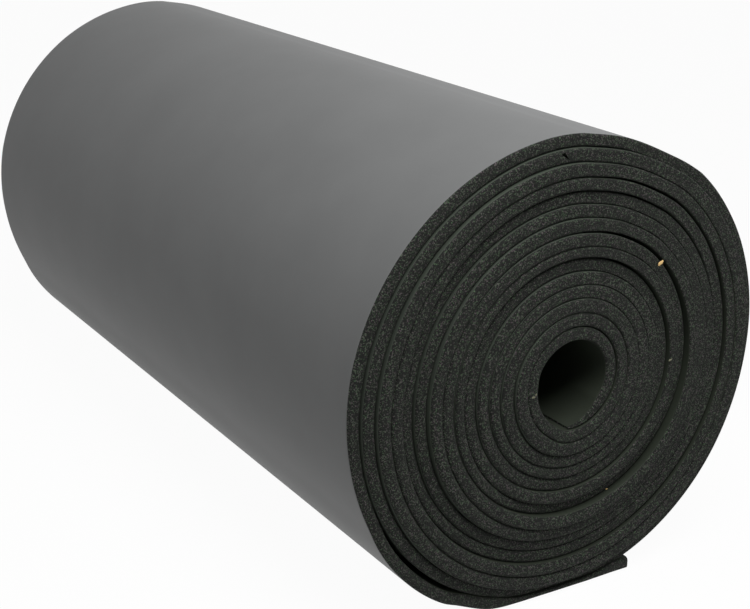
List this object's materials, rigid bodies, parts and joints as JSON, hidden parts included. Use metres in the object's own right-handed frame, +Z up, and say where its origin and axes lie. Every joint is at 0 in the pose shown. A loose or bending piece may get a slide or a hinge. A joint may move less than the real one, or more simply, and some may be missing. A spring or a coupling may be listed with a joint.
{
  "type": "insulation roll",
  "caption": "Roll of dark grey closed-cell rubber foam insulation sheet, wound round an open bore with staggered turns, lying on its own loose tail.",
  "frame": {"origin": "middle of the roll's length, on the floor under the roll, at the bottom centre of its box", "axes": "+X along the roll towards the end whose turns step outwards to the bore, +Y the way the tail points, +Z up"},
  "size_m": [1.015, 0.5084, 0.5033],
  "materials": {
    "foam": "satin closed-cell rubber foam with a smooth skin and porous cut ends"
  },
  "bodies": {
    "root": {"foam_roll": "foam"}
  },
  "joints": []
}
